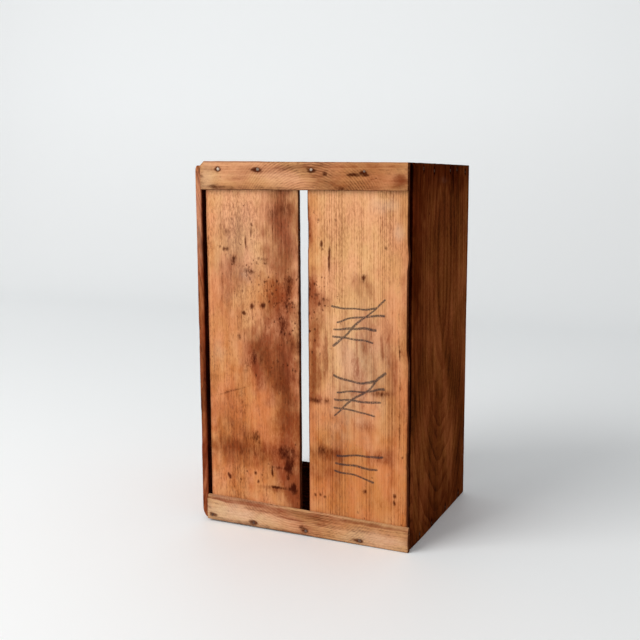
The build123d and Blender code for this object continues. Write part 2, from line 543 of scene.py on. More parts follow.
def crayon_stroke() -> bpy.types.NodeTree:
    """A wax stroke between two points: full within half its width of the line, and broken
    where the crayon skipped over the grain.

    Returns:
        The group, which gives Wax.
    """
    kinds = {"Place": "Vector", "Start": "Vector", "End": "Vector", "Width": "Float"}
    e = Effect("crayon stroke", kinds, ["Wax"])
    shaken = e.vector("ADD", e.given["Place"], e.shake(e.given["Place"], 21.0, 1.0, 0.017))
    flat = e.on_face(shaken, e.given["Start"])
    line = e.vector("SUBTRACT", e.given["End"], e.given["Start"])
    square = e.vector("DOT_PRODUCT", line, line)
    along = e.maths("DIVIDE", e.vector("DOT_PRODUCT", flat, line), square, clamp=True)
    gap = e.vector("LENGTH", e.vector("SUBTRACT", flat, e.vector("SCALE", line, along)))
    half = e.maths("MULTIPLY", e.given["Width"], 0.5)
    solid = e.spread(gap, e.maths("MULTIPLY", half, 0.45), e.maths("MULTIPLY", half, 1.15), 1.0, 0.0)
    skips = e.spread(e.noise(e.given["Place"], 750.0, 2.0), 0.3, 0.55, 0.35, 1.0)
    e.give("Wax", e.maths("MULTIPLY", solid, skips))
    return e.tree


@dataclass(frozen=True)
class Effects:
    """The shared effects, each built once."""

    rings: bpy.types.NodeTree = field(default_factory=growth_rings)
    fibre: bpy.types.NodeTree = field(default_factory=wood_fibre)
    grime: bpy.types.NodeTree = field(default_factory=old_grime)
    saw: bpy.types.NodeTree = field(default_factory=saw_arcs)
    stroke: bpy.types.NodeTree = field(default_factory=crayon_stroke)


# ---- Finishes ----


class Lay(Enum):
    """Which way a board lies: the axes of its thickness, its width and its grain."""

    SIDE = (0, 1, 2)
    SLAT = (1, 0, 2)
    CLEAT = (1, 2, 0)
    END = (2, 1, 0)


@dataclass(frozen=True)
class Stroke:
    """One crayon stroke on a board, in millimetres from the board's low corner."""

    start: tuple[float, float]
    end: tuple[float, float]
    width: float = 3.6


@dataclass(frozen=True)
class Timber:
    """How one board's wood looks.

    Lengths are in millimetres. The heart and the saw's centre are measured from the board's
    middle: the heart along its thickness, its width and its grain, and the saw's centre along
    its width and its grain. pale, mid and deep are the wood's own colours, and the washes and
    stains after relief multiply them, apart from pale_film and wax, which cover them. The dark
    and brown stains also lay painted shade on the boards.
    """

    pale: Colour
    mid: Colour
    deep: Colour
    heart: tuple[float, float, float]
    ring_pitch: float = 3.4
    ring_bow: float = 0.0
    ring_waver: float = 3.0
    rings: float = 0.25
    streaks: float = 0.6
    bands: float = 0.8
    ticks: float = 0.26
    grit: float = 1.0
    clouds: float = 1.4
    spots: float = 0.01
    saw: float = 0.0
    saw_centre: tuple[float, float] = (0.0, 0.0)
    saw_pitch: float = 2.6
    saw_reach: float = 1000.0
    dullness: float = 0.7
    sheen: float = 0.02
    relief: float = 1.0
    olive: Colour = (0.96, 1.0, 0.93)
    rose: Colour = (1.0, 0.94, 0.99)
    amber_wash: Colour = (0.75, 0.49, 0.31)
    brown_stain_and_shade: Colour = (0.42, 0.25, 0.205)
    dark_stain_and_shade: Colour = (0.2, 0.11, 0.09)
    pale_film: Colour = srgb(206, 188, 168)
    wax: Colour = srgb(42, 43, 47)

    def material(
        self, name: str, lay: Lay, low: Array, high: Array, strokes: list[Stroke]
    ) -> bpy.types.Material:
        """Builds the finish of one board.

        Args:
            name: the material's name.
            lay: which way the board lies.
            low, high: the corners of the board's box, in millimetres.
            strokes: crayon strokes on its face.

        Returns:
            The material.
        """
        w = Finish(name)
        middle = tuple((low + high) / 2 * MM)
        axes = w.parts(w.vector("SUBTRACT", w.here, middle))
        place = w.joined(*[axes[axis] for axis in lay.value])
        tint = w.node("ShaderNodeAttribute", {}, attribute_name="tint").outputs
        rings = w.effect(
            EFFECTS.rings, Place=place, Heart=tuple(value * MM for value in self.heart),
            Pitch=self.ring_pitch * MM, Bow=self.ring_bow, Waver=self.ring_waver * MM,
        )
        fibre = w.effect(EFFECTS.fibre, Place=place)
        specks = w.maths("MULTIPLY_ADD", tint["Alpha"], 0.85, self.spots)
        grime = w.effect(EFFECTS.grime, Place=place, Spots=specks)
        centre = (0.0, self.saw_centre[0] * MM, self.saw_centre[1] * MM)
        saw = w.effect(
            EFFECTS.saw, Place=place, Centre=centre, Pitch=self.saw_pitch * MM, Reach=self.saw_reach * MM,
        )["Score"]

        wood = self.bare_wood(w, rings, fibre, grime, saw)
        wood = self.stained(w, wood, tint["Color"], fibre, grime)
        wax = self.waxed(w, place, low, high, lay, strokes)
        if wax:
            cover = w.maths("MULTIPLY", wax, w.maths("MULTIPLY", w.painted("outer"), 0.85))
            wood = w.mixed(cover, wood, self.wax)
        height = self.height(w, rings, fibre, grime, saw)
        normal = w.node("ShaderNodeBump", {"Height": height, "Distance": 1.0, "Strength": 1.0}).outputs[0]
        rough = w.maths("MULTIPLY_ADD", fibre["Streak"], 0.2, self.dullness - 0.1)
        return w.shaded({"Base Color": wood, "Roughness": rough, "Normal": normal}, self.sheen)

    def bare_wood(self, w: Finish, rings: Sockets, fibre: Sockets, grime: Sockets, saw: Socket) -> Socket:
        """The wood's colour: a tone from 0 to 1 leads from deep through mid to pale, and the
        hue drifts between olive and rose.

        The tone is one half plus each pattern's share above or below its own middle.

        Args:
            w: the material's wiring.
            rings, fibre, grime: the outputs of those effects.
            saw: the saw's scores.

        Returns:
            The colour.
        """
        tone = 0.5
        for pattern, middle, strength in (
            (rings["Ring Shade"], 0.5, 0.5 * self.rings),
            (rings["Latewood"], 0.3, -self.rings),
            (fibre["Streak"], 0.5, self.streaks),
            (fibre["Band"], 0.5, self.bands),
            (fibre["Grit"], 0.5, self.grit),
            (fibre["Tick"], 0.15, -self.ticks),
            (grime["Cloud"], 0.5, self.clouds),
            (saw, 0.25, -self.saw),
        ):
            tone = w.maths("MULTIPLY_ADD", w.maths("SUBTRACT", pattern, middle), strength, tone)
        dark_half = w.maths("MULTIPLY", tone, 2.0, clamp=True)
        pale_half = w.maths("MULTIPLY_ADD", tone, 2.0, -1.0, clamp=True)
        wood = w.mixed(pale_half, w.mixed(dark_half, self.deep, self.mid), self.pale)
        return w.mixed(1.0, wood, w.mixed(grime["Hue"], self.olive, self.rose), "MULTIPLY")

    def stained(self, w: Finish, wood: Socket, tint: Socket, fibre: Sockets, grime: Sockets) -> Socket:
        """Lays the painted stains and painted shade, the strewn spots and the dirt of the arrises
        on the wood.

        A stain takes where its strength, moved up and down by ragged noise, passes a
        threshold, so strong stains are whole and weak ones are broken.

        Args:
            w: the material's wiring.
            wood: the colour of the bare wood.
            tint: the painted strengths of the brown, dark and pale stains; the brown and dark ones also hold
                painted shade.
            fibre, grime: the outputs of those effects.

        Returns:
            The stained colour.
        """
        brown, dark, pale = w.node("ShaderNodeSeparateColor", {0: tint}).outputs[:3]
        ragged = w.maths("MULTIPLY_ADD", grime["Ragged"], 1.5, -0.75)
        ragged = w.maths("ADD", ragged, w.maths("MULTIPLY_ADD", fibre["Grit"], 1.2, -0.6))
        thin = w.maths("MULTIPLY", w.painted("amber"), w.maths("MULTIPLY_ADD", ragged, 0.6, 1.0), clamp=True)
        brown_take = w.spread(w.maths("MULTIPLY_ADD", ragged, 0.8, brown), 0.1, 1.0)
        dark_take = w.spread(w.maths("ADD", dark, ragged), 0.2, 1.0)
        wood = w.mixed(w.maths("MULTIPLY", pale, 0.5), wood, self.pale_film)
        wood = w.mixed(thin, wood, self.amber_wash, "MULTIPLY")
        # The brown and dark stains also lay the painted shade of the backs, of some edges and of the slat's
        # shadow.
        wood = w.mixed(brown_take, wood, self.brown_stain_and_shade, "MULTIPLY")
        wood = w.mixed(dark_take, wood, self.dark_stain_and_shade, "MULTIPLY")
        wood = w.mixed(w.maths("MULTIPLY", grime["Spot"], 0.95), wood, self.dark_stain_and_shade, "MULTIPLY")
        dirt = w.maths("MULTIPLY", w.painted("rim"), w.spread(grime["Cloud"], 0.4, 0.65, 0.15, 0.6))
        return w.mixed(dirt, wood, self.dark_stain_and_shade, "MULTIPLY")

    def waxed(
        self, w: Finish, place: Socket, low: Array, high: Array, lay: Lay, strokes: list[Stroke]
    ) -> Socket | None:
        """The crayon's cover: the strongest of all the strokes at each place.

        Args:
            w: the material's wiring.
            place: metres from the board's middle, along its thickness, width and grain.
            low, high: the corners of the board's box, in millimetres.
            lay: which way the board lies.
            strokes: the crayon strokes.

        Returns:
            The cover from 0 to 1, or None where the board has no strokes.
        """
        half = (high - low)[list(lay.value)] / 2 * MM
        cover = None
        for stroke in strokes:
            ends = [(0.0, at[0] * MM - half[1], at[1] * MM - half[2]) for at in (stroke.start, stroke.end)]
            wax = w.effect(
                EFFECTS.stroke, Place=place, Start=ends[0], End=ends[1], Width=stroke.width * MM,
            )["Wax"]
            cover = w.maths("MAXIMUM", cover, wax) if cover else wax
        return cover

    def height(self, w: Finish, rings: Sockets, fibre: Sockets, grime: Sockets, saw: Socket) -> Socket:
        """The fine relief: latewood stands proud, and ticks, spots and scores lie deep.

        Args:
            w: the material's wiring.
            rings, fibre, grime: the outputs of those effects.
            saw: the saw's scores.

        Returns:
            The height in metres.
        """
        deep = w.maths("MULTIPLY", rings["Latewood"], 0.0001 * self.relief)
        for pattern, metres in (
            (fibre["Streak"], 0.0003 * self.relief),
            (fibre["Grit"], 0.0003 * self.relief),
            (fibre["Tick"], -0.00012 * self.relief),
            (grime["Spot"], -0.00015),
            (saw, -0.0006 * self.saw),
        ):
            deep = w.maths("MULTIPLY_ADD", pattern, metres, deep)
        return deep


@dataclass(frozen=True)
class RustedSteel:
    """Old wire nails: brown rust in the lows, with the hammered crowns worn to grey steel."""

    rust: Colour = srgb(92, 58, 44)
    scale: Colour = srgb(54, 37, 30)
    steel: Colour = srgb(184, 166, 150)

    def material(self) -> bpy.types.Material:
        """Builds the finish: noise parts rust from scale, and the rub attribute bares steel.

        Returns:
            The material.
        """
        w = Finish("rusted steel")
        mottle = w.noise(w.here, 900.0, 4.0, 0.6)
        bare = w.maths("MULTIPLY", w.painted("rub"), w.spread(mottle, 0.3, 0.55))
        colour = w.mixed(w.spread(mottle, 0.4, 0.62), self.scale, self.rust)
        colour = w.mixed(bare, colour, self.steel)
        bump_node = w.node("ShaderNodeBump", {"Height": mottle, "Distance": 0.0004, "Strength": 0.8})
        skin = {
            "Base Color": colour,
            "Metallic": w.maths("MULTIPLY", bare, 0.9),
            "Roughness": w.maths("MULTIPLY_ADD", bare, -0.45, 0.85),
            "Normal": bump_node.outputs[0],
        }
        return w.shaded(skin, 0.0)


# ---- Marks and wear at one place ----


class Tint(Enum):
    """The channel that a stain is painted into; SPECK strews spots, and AMBER is a thin wash. BROWN and DARK
    also carry painted shade.
    """

    BROWN = 0
    DARK = 1
    PALE = 2
    SPECK = 3
    AMBER = 4


@dataclass(frozen=True)
class Stain:
    """A soft-edged stain on a board's outer face, measured from the board's low corner."""

    tint: Tint
    across: float
    along: float
    half_width: float
    half_length: float
    strength: float
    slant: float = 0.0


@dataclass(frozen=True)
class Nibble:
    """A shallow bite out of a board's long edge, low (-1) or high (1) across its width."""

    side: int
    along: float
    reach: float
    depth: float


@dataclass(frozen=True)
class Dent:
    """A hollow in a board's outer face, measured from the board's low corner."""

    across: float
    along: float
    half_width: float
    half_length: float
    depth: float


def stains(tint: Tint, *rows: tuple[float, ...]) -> list[Stain]:
    """Stains of one tint; a row is across, along, half width, half length, strength, slant."""
    return [Stain(tint, *row) for row in rows]


# ---- Nails ----


@dataclass
class NailRow:
    """The nails of one row, with domed, hammered heads, where the frame has them.

    outward is the way that the heads look, and the row runs along row_axis. bareness is how
    far each nail's crown is rubbed down to bare steel.
    """

    node: str
    outward: tuple[int, int, int]
    row_axis: int
    seed: int
    bareness: tuple[float, ...] = (0.05,)
    head_radius: float = 2.8
    head_thickness: float = 1.0
    dome: float = 0.35
    crown_share: float = 0.86
    rim: float = 0.25
    shank_radius: float = 1.15
    length: float = 38.0
    point_length: float = 3.5
    point_radius: float = 0.2
    sink: float = 0.12
    beating: float = 0.07
    around: int = 28

    def heads(self) -> Array:
        """Finds the nails in the frame.

        The frame's vertices are sorted along the row and parted where they leave a gap
        wider than a head's radius; each part's box then gives one nail's axis and its top.

        Returns:
            The middle of each head's top, in millimetres.
        """
        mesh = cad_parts[self.node].data
        points = np.empty(len(mesh.vertices) * 3)
        mesh.vertices.foreach_get("co", points)
        points = points.reshape(-1, 3) / MM
        points = points[np.argsort(points[:, self.row_axis])]
        gaps = np.flatnonzero(np.diff(points[:, self.row_axis]) > self.head_radius)
        nails = np.split(points, gaps + 1)
        out = np.array(self.outward)
        middles = np.array([(nail.min(axis=0) + nail.max(axis=0)) / 2 for nail in nails])
        tops = np.array([(nail @ out).max() for nail in nails])
        return middles * (out == 0) + out * tops[:, None]

    def profile(self) -> tuple[Array, Array]:
        """The outline that is turned about a nail's axis: a crown that falls off by a square
        law, the rim, the underside, the shank and the point.

        Returns:
            The radius and the height over the head's top, from the crown to the point.
        """
        share = self.crown_share * np.linspace(0, 1, 9)[1:]
        underside = -self.head_thickness
        radius = [*(self.head_radius * share), self.head_radius, self.head_radius * 0.97, self.shank_radius]
        height = [*(-self.dome * share**2), -self.dome - self.rim, underside, underside - 0.05]
        shank_end = self.point_length - self.length
        radius += [self.shank_radius, self.shank_radius, self.point_radius]
        height += [shank_end / 2, shank_end, -self.length]
        return np.array(radius), np.array(height)

    def nail(self, number: int, head: Array) -> tuple[Array, Array]:
        """One nail: the profile is turned about the nail's axis, and the head is beaten out
        of round by noise of its own two directions.

        Args:
            number: the nail's number in the row.
            head: the middle of its head's top.

        Returns:
            Its points, ring by ring and then the two poles, and how bare of rust each one is.
        """
        profile_radius, profile_height = self.profile()
        angle = np.linspace(0, 2 * np.pi, self.around, endpoint=False)
        radius, turns = np.meshgrid(profile_radius, angle, indexing="ij")
        height = np.broadcast_to(profile_height[:, None], turns.shape)
        flat = (radius * np.cos(turns)).ravel(), (radius * np.sin(turns)).ravel()
        knock = soft_noise(places(*flat, 9.0 * number), (1.5, 1.5, 1.0), self.seed).reshape(turns.shape)
        on_head = ramp(height, -self.head_thickness - 0.3, -self.head_thickness)
        beaten = radius * (1 + self.beating * on_head * knock)
        sunk = height - on_head * self.sink * (1 + knock) * (radius / self.head_radius)
        out = np.array(self.outward, dtype=float)
        side = np.eye(3)[self.row_axis]
        third = np.cross(out, side)
        local = (beaten * np.cos(turns))[..., None] * side + (beaten * np.sin(turns))[..., None] * third
        rings = head + local + sunk[..., None] * out
        poles = head + np.array([0.0, profile_height[-1]])[:, None] * out
        worn = on_head * ramp(radius, self.head_radius, self.head_radius * 0.55)
        bare = self.bareness[number % len(self.bareness)]
        return np.concatenate([rings.reshape(-1, 3), poles]), np.append(bare * worn.ravel(), [bare, 0.0])

    def faces(self, start: int, rows: int) -> tuple[Array, Array]:
        """The faces of one nail.

        Args:
            start: the number of the nail's first point.
            rows: how many rings of points it has before its two poles.

        Returns:
            The quads between the rings, and the triangles round the two poles.
        """
        number = start + np.arange(rows * self.around).reshape(rows, self.around)
        wrapped = np.column_stack([number, number[:, 0]])
        crown, point = start + number.size, start + number.size + 1
        top = np.column_stack([wrapped[0, :-1], wrapped[0, 1:], np.full(self.around, crown)])
        foot = np.column_stack([wrapped[-1, 1:], wrapped[-1, :-1], np.full(self.around, point)])
        return grid_quads(wrapped), np.concatenate([top, foot])

    def build(self, steel: bpy.types.Material) -> bpy.types.Object:
        """Makes the row as one piece.

        Args:
            steel: the nails' finish.

        Returns:
            The piece.
        """
        points, rubs = zip(*(self.nail(number, head) for number, head in enumerate(self.heads())))
        rows, size = len(self.profile()[0]), len(points[0])
        quads, fans = zip(*(self.faces(size * number, rows) for number in range(len(points))))
        sheets = [np.concatenate(quads), np.concatenate(fans)]
        piece = new_piece(self.node + "_hammered", np.concatenate(points), sheets)
        piece.data.attributes.new("rub", "FLOAT", "POINT").data.foreach_set("value", np.concatenate(rubs))
        piece.data.materials.append(steel)
        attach(piece, "root")
        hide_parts(self.node)
        return piece


# ---- Boards ----


@dataclass
class Board:
    """A sawn board: its box in the frame, its timber, and what years of use did to it.

    across runs over the width and along runs with the grain, both from the low corner of the
    board's box. thick runs from the back face to the outer face. face is 1 where the outer
    face looks up its axis and -1 where it looks down. cell and grain_cell are the skin's
    steps over the width and along the grain. Every size is in millimetres.

    edge_grime_and_shade is how dark each edge is, partly dirt and partly painted shade on edges that
    look away from the light or into a gap: the low and high long edges, then the low and high
    ends. edge_dark_reach is how far in that dark begins, and how far in it is full. back_shade is
    how far the back face is darkened and browned as painted shade of the crate's inside, and
    back_warmth is how amber it is. rim_reach is how far the dirt of the arrises runs in.
    """

    node: str
    slot: str
    lay: Lay
    face: int
    timber: Timber
    seed: int
    cell: float = 1.4
    grain_cell: float = 2.0
    arris: float = 0.8
    ruggedness: float = 0.5
    undulation: float = 0.18
    ribs: float = 0.05
    bow: float = 0.0
    edge_wander: float = 0.22
    edge_splinters: float = 0.12
    end_wander: float = 0.15
    edge_dark_reach: tuple[float, float] = (1.3, 0.2)
    edge_grime_and_shade: tuple[float, float, float, float] = (0.3, 0.3, 0.3, 0.3)
    back_shade: float = 0.0
    back_warmth: float = 0.0
    rim_reach: float = 3.5
    stains: list[Stain] = field(default_factory=list)
    nibbles: list[Nibble] = field(default_factory=list)
    dents: list[Dent] = field(default_factory=list)
    strokes: list[Stroke] = field(default_factory=list)
    nails: list[NailRow] = field(default_factory=list)

    def __post_init__(self) -> None:
        """Reads the board's box from the frame, in millimetres, and its nails' places."""
        low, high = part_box(self.node)
        self.low, self.high = np.array(low) / MM, np.array(high) / MM
        deep, wide, grain = self.lay.value
        size = self.high - self.low
        self.thickness, self.width, self.length = size[deep], size[wide], size[grain]
        self.random = np.random.default_rng(self.seed)
        for row in self.nails:
            for head in row.heads():
                self.bruise(head[wide] - self.low[wide], head[grain] - self.low[grain])

    def bruise(self, across: float, along: float) -> None:
        """Dents the wood round a nail and blackens it, longest along the grain.

        Args:
            across, along: the nail's place on the board.
        """
        reach = self.random.uniform(5.5, 9.0)
        shift = self.random.uniform(-4.0, 4.0)
        dent = Dent(across, along + shift * 0.4, half_width=4.8, half_length=reach, depth=0.6)
        streak = Stain(Tint.DARK, across, along + shift, half_width=2.8, half_length=reach, strength=0.95)
        ring = Stain(Tint.DARK, across, along, half_width=4.6, half_length=5.6, strength=1.0)
        self.dents.append(dent)
        self.stains += [streak, ring]

    def steps(self, axis: int) -> Array:
        """The skin's steps along one axis, finer over the width and thickness."""
        cell = self.grain_cell if axis == self.lay.value[2] else self.cell
        return edged_steps(self.low[axis], self.high[axis], cell, self.arris)

    def wear_radius(self, points: Array) -> Array:
        """The arris radius, which drifts along the board and swells where it was knocked.

        Args:
            points: n by 3 points of the blank's skin.

        Returns:
            The radius at each point.
        """
        knocks = soft_noise(points, (11.0, 11.0, 11.0), self.seed + 1)
        slow = soft_noise(points, (60.0, 60.0, 60.0), self.seed + 2)
        radius = self.arris * (1 + self.ruggedness * (0.6 * slow + 1.6 * np.clip(knocks - 0.35, 0, 1)))
        return np.clip(radius, 0.3, 0.45 * self.thickness)

    def edge_bite(self, along: Array, side: int) -> Array:
        """How far one long edge lies inside the blank: a slow noise, a fine one and the
        nibbles, each of which is flat in its middle and rises at both ends.

        Args:
            along: places along the grain.
            side: the low (-1) or the high (1) edge.

        Returns:
            The depth at each place.
        """
        line = places(along, side)
        bite = self.edge_wander * (1 + soft_noise(line, (70.0, 1.0, 1.0), self.seed + 3))
        bite += self.edge_splinters * (1 + soft_noise(line, (9.0, 1.0, 1.0), self.seed + 4))
        for nibble in self.nibbles:
            if nibble.side == side:
                inside = nibble.reach - np.abs(along - nibble.along)
                bite += nibble.depth * ramp(inside, 0, nibble.reach * 0.35)
        return bite

    def end_bite(self, across: Array, end: int) -> Array:
        """How far one sawn end lies inside the blank at each place across the width."""
        line = places(across, 5.0 * end)
        return self.end_wander * (1 + soft_noise(line, (14.0, 1.0, 1.0), self.seed + 5))

    def face_recess(self, across: Array, along: Array) -> Array:
        """How deep the outer face lies below the blank: slow waves, ribs of hard latewood
        along the grain, and dents.

        Args:
            across, along: each point's place on the board.

        Returns:
            The depth at each point.
        """
        place = places(across, along)
        recess = self.undulation * (1 + soft_noise(place, (32.0, 130.0, 1.0), self.seed + 6)) / 2
        recess += self.ribs * (1 + soft_noise(place, (3.6, 90.0, 1.0), self.seed + 7))
        for dent in self.dents:
            gap = np.hypot((across - dent.across) / dent.half_width, (along - dent.along) / dent.half_length)
            recess += dent.depth * bump(gap, 1.0)
        return recess

    def back_recess(self, across: Array, along: Array) -> Array:
        """How deep the back face lies inside the blank at each place."""
        place = places(across, along, 40.0)
        return self.undulation * (1 + soft_noise(place, (25.0, 90.0, 1.0), self.seed + 8)) / 2

    def outline(self, across: Array, along: Array) -> tuple[Array, Array]:
        """Moves each place so that the blank's straight edges follow the worn ones.

        Args:
            across, along: each point's place on the blank.

        Returns:
            Its place on the worn board, across and along.
        """
        low, high = self.edge_bite(along, -1), self.edge_bite(along, 1)
        start, finish = self.end_bite(across, -1), self.end_bite(across, 1)
        moved_across = low + across / self.width * (self.width - low - high)
        moved_along = start + along / self.length * (self.length - start - finish)
        return moved_across, moved_along

    def warp(self, along: Array) -> Array:
        """How far the board has sprung back from its outer face: a half sine along the grain."""
        return self.bow * np.sin(np.pi * along / self.length)

    def showing(self, across: Array, thick: Array) -> Array:
        """How far the stains of the outer face reach through the board's thickness."""
        return ramp(thick / self.thickness, 0.3, 0.9)

    def paint(self, across: Array, along: Array, thick: Array) -> Array:
        """The tints: each stain is a soft ellipse, its edge wavered by noise, and stains of
        one tint add up without passing 1. The edges are darkened, partly as dirt and partly as
        painted shade, and the back is darkened as painted shade.

        Args:
            across, along, thick: each point's place on the board.

        Returns:
            n by 5 strengths, one column for each member of Tint.
        """
        place = places(across, along)
        waver = [soft_noise(place, (7.0, 11.0, 1.0), self.seed + n) for n in (11, 12)]
        outer = self.showing(across, thick)
        clear = np.ones((len(across), len(Tint)))
        for stain in self.stains:
            turn = np.radians(stain.slant)
            dx, dy = across - stain.across, along - stain.along
            wide = (dx * np.cos(turn) + dy * np.sin(turn)) / stain.half_width + 0.25 * waver[0]
            long = (dy * np.cos(turn) - dx * np.sin(turn)) / stain.half_length + 0.25 * waver[1]
            clear[:, stain.tint.value] *= 1 - outer * stain.strength * np.exp(-((wide**2 + long**2) ** 1.3))
        # Darkening along each edge: partly dirt, partly painted shade on edges that look away from the light
        # or into a gap.
        gaps = (across, self.width - across, along, self.length - along)
        for gap, strength in zip(gaps, self.edge_grime_and_shade):
            clear[:, Tint.DARK.value] *= 1 - strength * ramp(gap, *self.edge_dark_reach)
        # Painted shade of the crate's inside: the back face is darkened and browned; back_warmth washes it
        # amber as well.
        for tint, strength in (
            (Tint.DARK, self.back_shade), (Tint.BROWN, self.back_shade), (Tint.AMBER, self.back_warmth),
        ):
            clear[:, tint.value] *= 1 - strength * ramp(thick / self.thickness, 0.4, 0.05)
        return 1 - clear

    def build(self) -> bpy.types.Object:
        """Makes the board's skin, paints it and dresses it in its timber.

        Returns:
            The piece.
        """
        even, quads = box_skin([self.steps(axis) for axis in range(3)])
        points = rounded(even, self.low, self.high, self.wear_radius(even))
        deep, wide, grain = self.lay.value
        across, along = points[:, wide] - self.low[wide], points[:, grain] - self.low[grain]
        back_side = self.low if self.face > 0 else self.high
        thick = np.abs(points[:, deep] - back_side[deep])
        recess, back = self.face_recess(across, along), self.back_recess(across, along)
        tint = self.paint(across, along, thick)
        share = thick / self.thickness
        thick = back + share * (self.thickness - recess - back) - self.warp(along)
        moved_across, moved_along = self.outline(across, along)
        shaped = np.empty_like(points)
        shaped[:, deep] = back_side[deep] + self.face * thick
        shaped[:, wide] = self.low[wide] + moved_across
        shaped[:, grain] = self.low[grain] + moved_along
        reach = np.sort(np.minimum(points - self.low, self.high - points), axis=1)[:, 1]
        values = {
            "amber": tint[:, Tint.AMBER.value],
            "rim": ramp(reach, self.rim_reach, 0.0),
            "outer": ramp(share, 0.6, 0.9),
        }
        return self.dressed(shaped, quads, tint[:, :Tint.AMBER.value], values)

    def dressed(
        self, points: Array, quads: Array, tint: Array, values: dict[str, Array]
    ) -> bpy.types.Object:
        """Turns the skin into a piece of the crate that stands for the board's node.

        Args:
            points, quads: the skin.
            tint: the brown, dark, pale and speck strengths at each point.
            values: the other values at each point, by attribute name.

        Returns:
            The piece.
        """
        piece = new_piece(self.node + "_worn", points, [quads])
        piece.data.attributes.new("tint", "FLOAT_COLOR", "POINT").data.foreach_set("color", tint.ravel())
        for name, value in values.items():
            piece.data.attributes.new(name, "FLOAT", "POINT").data.foreach_set("value", value)
        finish = self.timber.material(self.node + " timber", self.lay, self.low, self.high, self.strokes)
        piece.data.materials.append(finish)
        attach(piece, "root")
        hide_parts(self.node)
        return piece


@dataclass
class SideBoard(Board):
    """A wide side board, its lower front corner worn away by years of standing on it.

    The corners at the front edge are worn to corner_depth at the foot and top_depth at the
    top, over their reaches along the grain. A slat covers part of the front edge, and a
    painted shadow of the slat darkens that edge fully up to slat_shadow_share of the board's
    thickness, counted from its inner face, and fades out a little beyond.
    """

    corner_reach: float = 12.0
    corner_depth: float = 5.5
    corner_spread: float = 30.0
    top_reach: float = 7.0
    top_depth: float = 2.4
    rim_reach: float = 1.3
    slat_shadow_share: float = 0.0
    grain_cell: float = 2.2
    front_edge: tuple[float, float] = (1.6, 0.5)

    def face_recess(self, across: Array, along: Array) -> Array:
        """Adds the worn front corners: deepest at the ends, by a square law along the grain,
        and fading out over the width by a bell curve.

        Args:
            across, along: each point's place on the board.

        Returns:
            The depth at each point.
        """
        worn = self.corner_depth * np.clip(1 - along / self.corner_reach, 0, 1) ** 2
        worn += self.top_depth * np.clip(1 - (self.length - along) / self.top_reach, 0, 1) ** 2
        return super().face_recess(across, along) + worn * np.exp(-((across / self.corner_spread) ** 2))

    def showing(self, across: Array, thick: Array) -> Array:
        """The stains of the outer face run right over the front edge."""
        return np.maximum(super().showing(across, thick), ramp(across, *self.front_edge))

    def paint(self, across: Array, along: Array, thick: Array) -> Array:
        """Cleans the dark stains off the front edge, but for a painted shadow where a slat covers it and just
        beside it.

        Args:
            across, along, thick: each point's place on the board.

        Returns:
            n by 5 strengths, one column for each member of Tint.
        """
        tint = super().paint(across, along, thick)
        # Painted shadow of the slat on the front edge: full up to slat_shadow_share, fading out 0.15 beyond.
        slat_shadow = np.zeros_like(across)
        if self.slat_shadow_share:
            slat_shadow = ramp(thick / self.thickness, self.slat_shadow_share + 0.15, self.slat_shadow_share)
        tint[:, Tint.DARK.value] += ramp(across, *self.front_edge) * (slat_shadow - tint[:, Tint.DARK.value])
        return tint


@dataclass
class Cleat(Board):
    """A cleat nailed across the slats: wider at its left end and a little out of level.

    wane_heights says how high the bark-side rounding is at shares of the cleat's length, and
    wane_brown how brown it is.
    """

    right_width: float = 35.0
    flare: float = 3.4
    rise: float = 2.2
    corner_cut: float = 0.0
    wane_heights: tuple[tuple[float, float], ...] = ()
    wane_depth: float = 3.2
    wane_brown: float = 0.62

    def outline(self, across: Array, along: Array) -> tuple[Array, Array]:
        """Places the width between two straight edges that part towards the left end, the
        upper one cut off at 45 degrees by the sawn corner.

        Args:
            across, along: each point's place on the blank.

        Returns:
            Its place on the cleat, across and along.
        """
        across, along = super().outline(across, along)
        left = 1 - along / self.length
        bottom = self.rise * left
        top = bottom + self.right_width + self.flare * left
        if self.corner_cut:
            peak = self.rise + self.right_width + self.flare
            top = np.minimum(top, peak - self.corner_cut + along)
        return bottom + across / self.width * (top - bottom), along

    def wane(self, across: Array, along: Array) -> Array:
        """How far up the bark-side rounding each place lies; the rounding's height changes
        along the cleat.

        Args:
            across, along: each point's place on the cleat.

        Returns:
            Shares from 0 at the rounding's foot and below to 1 at the upper arris.
        """
        if not self.wane_heights:
            return np.zeros_like(across)
        shares, heights = np.array(self.wane_heights).T
        height = np.interp(along / self.length, shares, heights)
        height *= 1 + 0.15 * soft_noise(places(along), (16.0, 1.0, 1.0), self.seed + 20)
        return np.clip(1 - (self.width - across) / height, 0, 1)

    def face_recess(self, across: Array, along: Array) -> Array:
        """Adds the wane, and the ribs that the lost bark left on it.

        Args:
            across, along: each point's place on the cleat.

        Returns:
            The depth at each point.
        """
        wane = self.wane(across, along)
        place = places(across, along)
        ribs = 0.25 * soft_noise(place, (2.2, 45.0, 1.0), self.seed + 21) * ramp(wane, 0.0, 0.25)
        return super().face_recess(across, along) + self.wane_depth * wane**1.4 + ribs

    def paint(self, across: Array, along: Array, thick: Array) -> Array:
        """Adds the wane's brown, drawn into lines along the cleat, to the stains.

        Args:
            across, along, thick: each point's place on the cleat.

        Returns:
            n by 5 strengths, one column for each member of Tint.
        """
        tint = super().paint(across, along, thick)
        place = places(across, along)
        lines = 0.75 + 0.3 * soft_noise(place, (1.6, 60.0, 1.0), self.seed + 22)
        bark = self.wane_brown * ramp(self.wane(across, along), 0.0, 0.2) * self.showing(across, thick)
        below_arris = ramp(self.width - across, 1.5, 3.0)
        tint[:, Tint.BROWN.value] = 1 - (1 - tint[:, Tint.BROWN.value]) * (1 - bark * lines * below_arris)
        return tint


# ---- The crate ----


